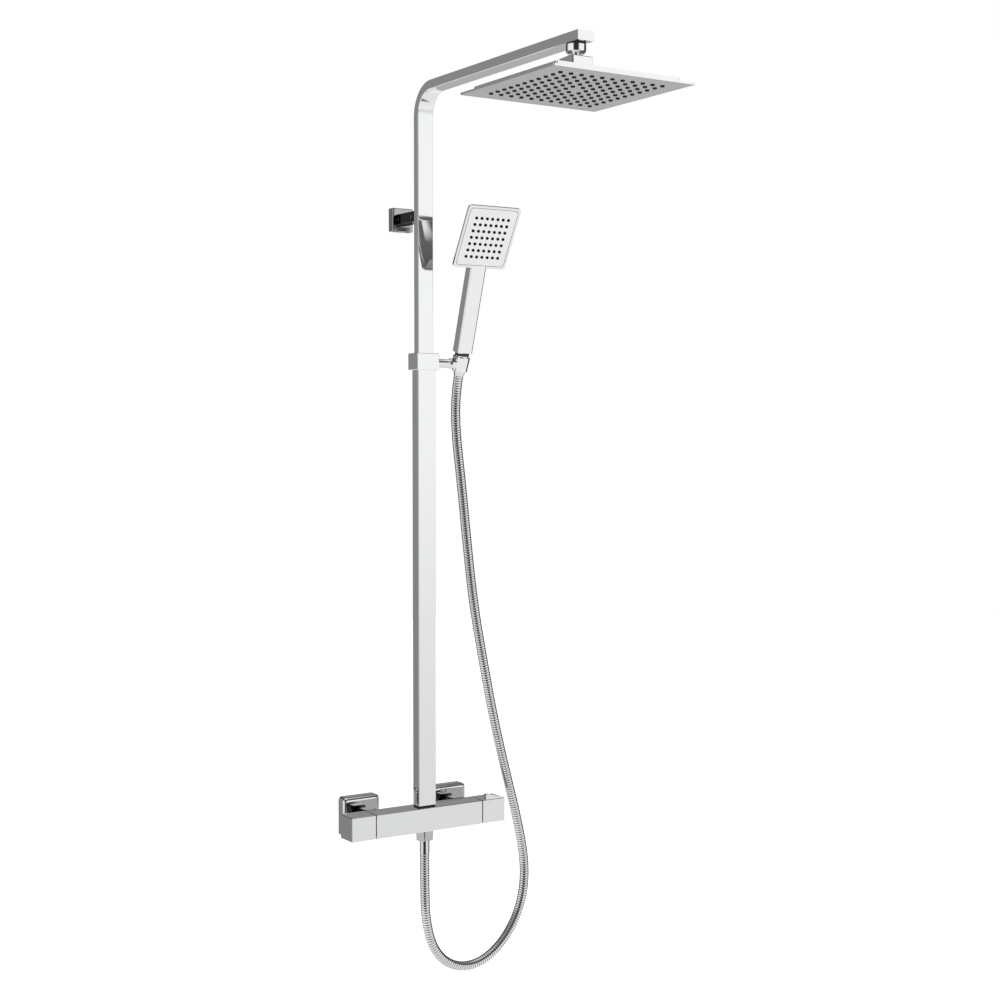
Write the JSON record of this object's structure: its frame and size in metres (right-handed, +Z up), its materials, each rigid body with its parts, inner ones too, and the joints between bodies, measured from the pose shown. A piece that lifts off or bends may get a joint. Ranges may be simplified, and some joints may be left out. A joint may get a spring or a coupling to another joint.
{
  "type": "shower column",
  "caption": "Wall-mounted square rain shower column: thermostatic bar valve, telescopic riser and arm, square rain head on a ball joint, handset in a tilting holder, metal hose.",
  "frame": {"origin": "mid-point between the two wall inlets, on the face of the wall, at the height of the valve's axis", "axes": "+X right along the wall seen from the front, +Y into the wall, +Z up"},
  "size_m": [0.3139, 0.5767, 1.3144],
  "materials": {
    "chrome": "chromed",
    "brass_chromed": "chromed",
    "steel_chromed": "chromed",
    "plastic_chromed": "chromed",
    "brass": "machined",
    "steel": "satin",
    "plastic_dark": "matt",
    "rubber": "matt",
    "silicone": "matt",
    "hose": "polished"
  },
  "bodies": {
    "column": {"valve_body": "chrome", "thermostatic_cartridge": "plastic_dark", "flow_cartridge": "plastic_dark", "gland_nuts": "brass", "wall_connectors": "brass_chromed", "inlet_seals": "rubber", "inlet_nuts": "brass_chromed", "check_valves": "plastic_dark", "foot_gasket": "rubber", "riser_nipple": "brass", "riser_foot": "chrome", "lower_tube": "steel_chromed", "clamp_collar": "chrome", "collar_liner": "plastic_dark", "collar_screw": "steel", "holder_rod": "chrome", "friction_washer": "chrome", "pivot_screw": "steel", "hose_outlet": "brass_chromed", "hose_lower_washer": "rubber", "hose_ferrule": "steel", "hose_hex_nut": "brass_chromed", "hose_tube": "hose"},
    "temperature_knob": {"temperature_handle": "chrome", "temperature_spindle": "brass"},
    "flow_knob": {"flow_handle": "chrome", "flow_spindle": "brass"},
    "flange_left": {"wall_flange_left": "chrome"},
    "flange_right": {"wall_flange_right": "chrome"},
    "riser": {"upper_tube": "steel_chromed", "arm_end_cap": "chrome", "arm_outlet": "brass", "telescope_plug": "plastic_dark", "telescope_seals": "rubber", "riser_spigot": "chrome", "bracket_arm": "chrome", "bracket_grub_screws": "steel", "bracket_wall_plate": "steel"},
    "bracket_cover": {"bracket_flange": "chrome"},
    "stud": {"ball_stud": "brass_chromed", "stud_washer": "rubber"},
    "liner": {"ball_liner": "plastic_dark"},
    "head": {"head_block": "chrome", "ball_seat": "brass", "head_shell": "steel_chromed", "head_face_plate": "steel_chromed", "head_gasket": "rubber", "head_nozzles": "silicone"},
    "holder": {"holder_cup": "chrome"},
    "handset": {"hose_cone_nut": "brass_chromed", "hose_upper_sleeve": "brass", "handset_inlet": "brass", "handset_seal_ring": "rubber", "handset_handle": "plastic_chromed", "handset_water_tube": "plastic_dark", "handset_shell": "plastic_chromed", "handset_face_plate": "plastic_chromed", "handset_nozzles": "silicone"}
  },
  "joints": [
    {"name": "temperature_turn", "type": "hinge", "parent": "column", "child": "temperature_knob", "pos_m": [-0.11, -0.073, 0], "axis": [1, 0, 0], "range_deg": [-160, 100]},
    {"name": "flow_turn", "type": "hinge", "parent": "column", "child": "flow_knob", "pos_m": [0.11, -0.073, 0], "axis": [1, 0, 0], "range_deg": [-90, 90]},
    {"name": "left_flange_slide", "type": "slide", "parent": "column", "child": "flange_left", "axis": [0, -1, 0], "range_m": [0, 0.005]},
    {"name": "right_flange_slide", "type": "slide", "parent": "column", "child": "flange_right", "axis": [0, -1, 0], "range_m": [0, 0.005]},
    {"name": "riser_height", "type": "slide", "parent": "column", "child": "riser", "axis": [0, 0, 1], "range_m": [-0.1, 0.1]},
    {"name": "bracket_cover_slide", "type": "slide", "parent": "riser", "child": "bracket_cover", "axis": [0, -1, 0], "range_m": [0, 0.04]},
    {"name": "head_spin", "type": "hinge", "parent": "riser", "child": "stud", "pos_m": [0, -0.4562, 1.031], "axis": [0, 0, 1], "continuous": true},
    {"name": "head_tilt_side", "type": "hinge", "parent": "stud", "child": "liner", "pos_m": [0, -0.4562, 1.031], "axis": [0, 1, 0], "range_deg": [-12, 12]},
    {"name": "head_tilt_front", "type": "hinge", "parent": "liner", "child": "head", "pos_m": [0, -0.4562, 1.031], "axis": [1, 0, 0], "range_deg": [-12, 12]},
    {"name": "holder_tilt", "type": "hinge", "parent": "column", "child": "holder", "pos_m": [0.063, -0.073, 0.67], "axis": [1, 0, 0], "range_deg": [-30, 25], "deforming": ["hose_tube"]},
    {"name": "handset_lift", "type": "slide", "parent": "holder", "child": "handset", "axis": [0, -0.3007, 0.9537], "range_m": [0, 0.04], "deforming": ["hose_tube"]}
  ]
}
